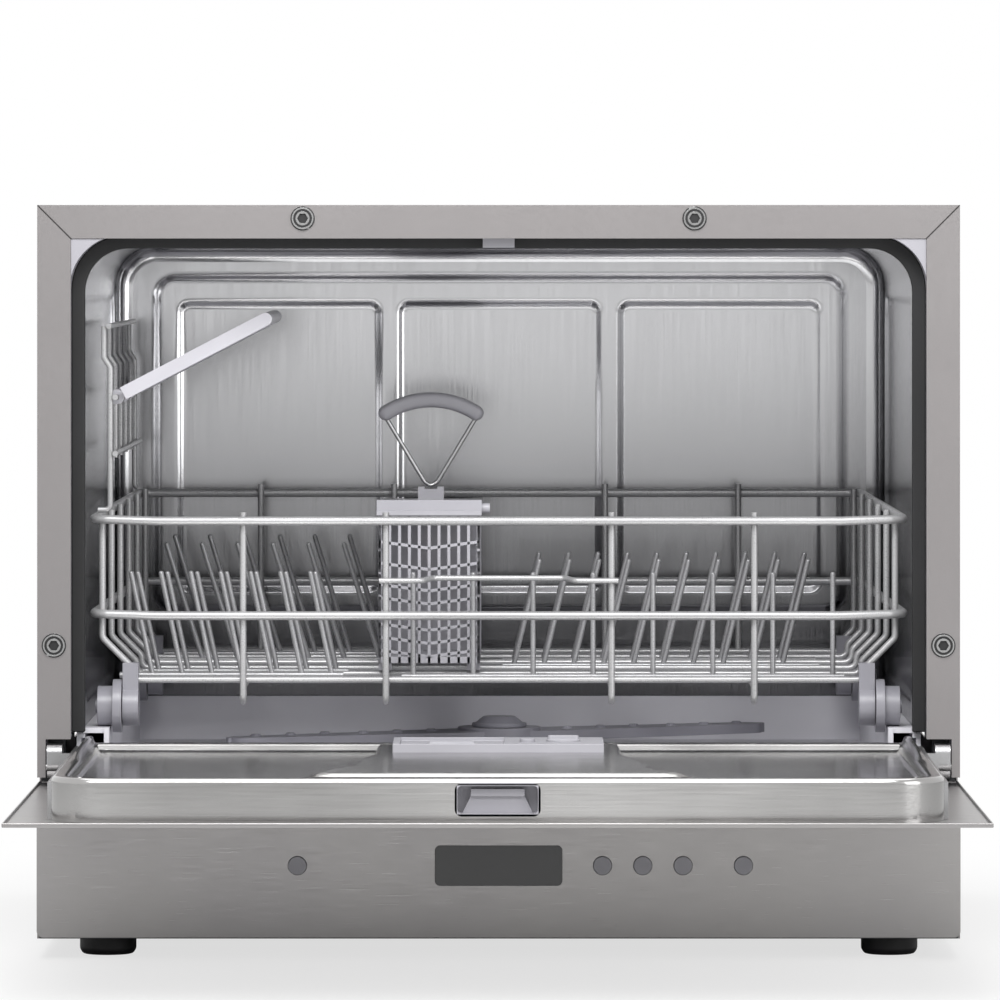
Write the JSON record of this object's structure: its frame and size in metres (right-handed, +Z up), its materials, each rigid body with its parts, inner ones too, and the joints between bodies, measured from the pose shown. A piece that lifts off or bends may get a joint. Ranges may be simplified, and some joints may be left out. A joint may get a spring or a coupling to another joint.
{
  "type": "countertop dishwasher",
  "caption": "Compact countertop dishwasher with its drop-down door open, wheeled wire dish rack, cutlery basket, cup shelf and turning spray arm.",
  "frame": {"origin": "bottom centre of the whole object, with the door open at its stop, on the counter", "axes": "+X to the user's right, +Y from the open door towards the machine's back, +Z up"},
  "size_m": [0.551, 0.817, 0.45],
  "materials": {
    "arm_plastic": "matte",
    "casing": "satin",
    "dark_plastic": "matte",
    "floor_plastic": "satin",
    "grey_plastic": "satin",
    "rack_steel": "satin",
    "rubber": "matte",
    "screw_steel": "polished",
    "shelf_plastic": "satin",
    "stainless": "brushed",
    "window": "gloss"
  },
  "bodies": {
    "cabinet": {"top_panel": "casing", "side_panel_left": "casing", "side_panel_right": "casing", "back_panel": "stainless", "base_pan": "dark_plastic", "feet": "rubber", "bezel": "grey_plastic", "frame_screws": "screw_steel", "door_seals": "rubber", "tub_shell": "stainless", "tub_floor": "floor_plastic", "filter_plate": "stainless", "arm_post": "arm_plastic", "pumps": "dark_plastic", "heater": "stainless", "inlet_valve": "grey_plastic", "drain_outlet": "grey_plastic", "cord_gland": "dark_plastic", "lock_housing": "dark_plastic", "fascia": "stainless", "display_window": "window", "control_board": "dark_plastic", "hinge_pins": "stainless"},
    "filter": {"filter_cup": "grey_plastic"},
    "spray_arm": {"spray_arm": "arm_plastic", "arm_cap": "arm_plastic"},
    "lock_hook": {"lock_hook": "grey_plastic"},
    "power_button": {"power_button": "grey_plastic"},
    "start_button": {"start_button": "grey_plastic"},
    "option_button_1": {"option_button_1": "grey_plastic"},
    "option_button_2": {"option_button_2": "grey_plastic"},
    "option_button_3": {"option_button_3": "grey_plastic"},
    "door": {"door_skin": "stainless", "door_liner": "stainless", "strike_pocket": "grey_plastic", "handle_cup": "dark_plastic", "dispenser_body": "grey_plastic", "hinge_arms": "stainless"},
    "dispenser_lid": {"dispenser_lid": "grey_plastic"},
    "dispenser_button": {"dispenser_button": "grey_plastic"},
    "rinse_cap": {"rinse_cap": "grey_plastic"},
    "rack": {"rack_rails": "rack_steel", "cross_wires_front": "rack_steel", "cross_wires_rear": "rack_steel", "long_wires": "rack_steel", "tines_left_front": "rack_steel", "tines_left_rear": "rack_steel", "tines_right_front": "rack_steel", "tines_right_rear": "rack_steel", "wheel_clips": "grey_plastic", "cup_wires": "rack_steel"},
    "wheel_front_left": {"wheel_front_left": "grey_plastic"},
    "wheel_front_right": {"wheel_front_right": "grey_plastic"},
    "wheel_rear_left": {"wheel_rear_left": "grey_plastic"},
    "wheel_rear_right": {"wheel_rear_right": "grey_plastic"},
    "cup_shelf": {"cup_shelf": "shelf_plastic"},
    "cutlery_basket": {"basket_body": "grey_plastic", "basket_lid": "grey_plastic", "basket_handle": "rack_steel", "basket_grip": "grey_plastic"}
  },
  "joints": [
    {"name": "door_hinge", "type": "hinge", "parent": "cabinet", "child": "door", "pos_m": [0, -0.0735, 0.114], "axis": [1, 0, 0], "range_deg": [-90, 0]},
    {"name": "rack_slide", "type": "slide", "parent": "cabinet", "child": "rack", "axis": [0, -1, 0], "range_m": [0, 0.3]},
    {"name": "wheel_front_left_spin", "type": "hinge", "parent": "rack", "child": "wheel_front_left", "pos_m": [-0.236, -0.0326, 0.1483], "axis": [1, 0, 0], "range_deg": [0, 1500]},
    {"name": "wheel_front_right_spin", "type": "hinge", "parent": "rack", "child": "wheel_front_right", "pos_m": [0.236, -0.0326, 0.1483], "axis": [1, 0, 0], "range_deg": [0, 1500]},
    {"name": "wheel_rear_left_spin", "type": "hinge", "parent": "rack", "child": "wheel_rear_left", "pos_m": [-0.236, 0.2966, 0.1483], "axis": [1, 0, 0], "range_deg": [0, 1500]},
    {"name": "wheel_rear_right_spin", "type": "hinge", "parent": "rack", "child": "wheel_rear_right", "pos_m": [0.236, 0.2966, 0.1483], "axis": [1, 0, 0], "range_deg": [0, 1500]},
    {"name": "spray_arm_spin", "type": "hinge", "parent": "cabinet", "child": "spray_arm", "pos_m": [0, 0.1425, 0.12], "axis": [0, 0, 1], "continuous": true},
    {"name": "filter_turn", "type": "hinge", "parent": "cabinet", "child": "filter", "pos_m": [0.034, 0.1425, 0.1], "axis": [0, 0, 1], "range_deg": [0, 90]},
    {"name": "lock_hook_swing", "type": "hinge", "parent": "cabinet", "child": "lock_hook", "pos_m": [0, -0.0625, 0.439], "axis": [-1, 0, 0], "range_deg": [0, 8], "stiffness_Nm_per_rad": 0.4, "springref_deg": -5.73},
    {"name": "power_button_press", "type": "slide", "parent": "cabinet", "child": "power_button", "axis": [0, 1, 0], "range_m": [0, 0.0015], "stiffness_N_per_m": 400, "springref_m": -0.002},
    {"name": "start_button_press", "type": "slide", "parent": "cabinet", "child": "start_button", "axis": [0, 1, 0], "range_m": [0, 0.0015], "stiffness_N_per_m": 400, "springref_m": -0.002},
    {"name": "option_button_1_press", "type": "slide", "parent": "cabinet", "child": "option_button_1", "axis": [0, 1, 0], "range_m": [0, 0.0015], "stiffness_N_per_m": 400, "springref_m": -0.002},
    {"name": "option_button_2_press", "type": "slide", "parent": "cabinet", "child": "option_button_2", "axis": [0, 1, 0], "range_m": [0, 0.0015], "stiffness_N_per_m": 400, "springref_m": -0.002},
    {"name": "option_button_3_press", "type": "slide", "parent": "cabinet", "child": "option_button_3", "axis": [0, 1, 0], "range_m": [0, 0.0015], "stiffness_N_per_m": 400, "springref_m": -0.002},
    {"name": "dispenser_lid_slide", "type": "slide", "parent": "door", "child": "dispenser_lid", "axis": [0, 1, 0], "range_m": [0, 0.027]},
    {"name": "dispenser_button_press", "type": "slide", "parent": "door", "child": "dispenser_button", "axis": [0, 0, -1], "range_m": [0, 0.0015], "stiffness_N_per_m": 400, "springref_m": -0.002},
    {"name": "rinse_cap_turn", "type": "hinge", "parent": "door", "child": "rinse_cap", "pos_m": [0.038, -0.1755, 0.13], "axis": [0, 0, 1], "range_deg": [0, 90]},
    {"name": "cup_shelf_fold", "type": "hinge", "parent": "rack", "child": "cup_shelf", "pos_m": [-0.2318, -0.0155, 0.334], "axis": [0, -1, 0], "range_deg": [0, 22]},
    {"name": "basket_lift", "type": "slide", "parent": "rack", "child": "cutlery_basket", "axis": [0, 0, 1], "range_m": [0, 0.08]}
  ],
  "couplings": [
    {"joint": "wheel_front_left_spin", "follows": "rack_slide", "rad_per_m": 83.333},
    {"joint": "wheel_front_right_spin", "follows": "rack_slide", "rad_per_m": 83.333},
    {"joint": "wheel_rear_left_spin", "follows": "rack_slide", "rad_per_m": 83.333},
    {"joint": "wheel_rear_right_spin", "follows": "rack_slide", "rad_per_m": 83.333}
  ]
}
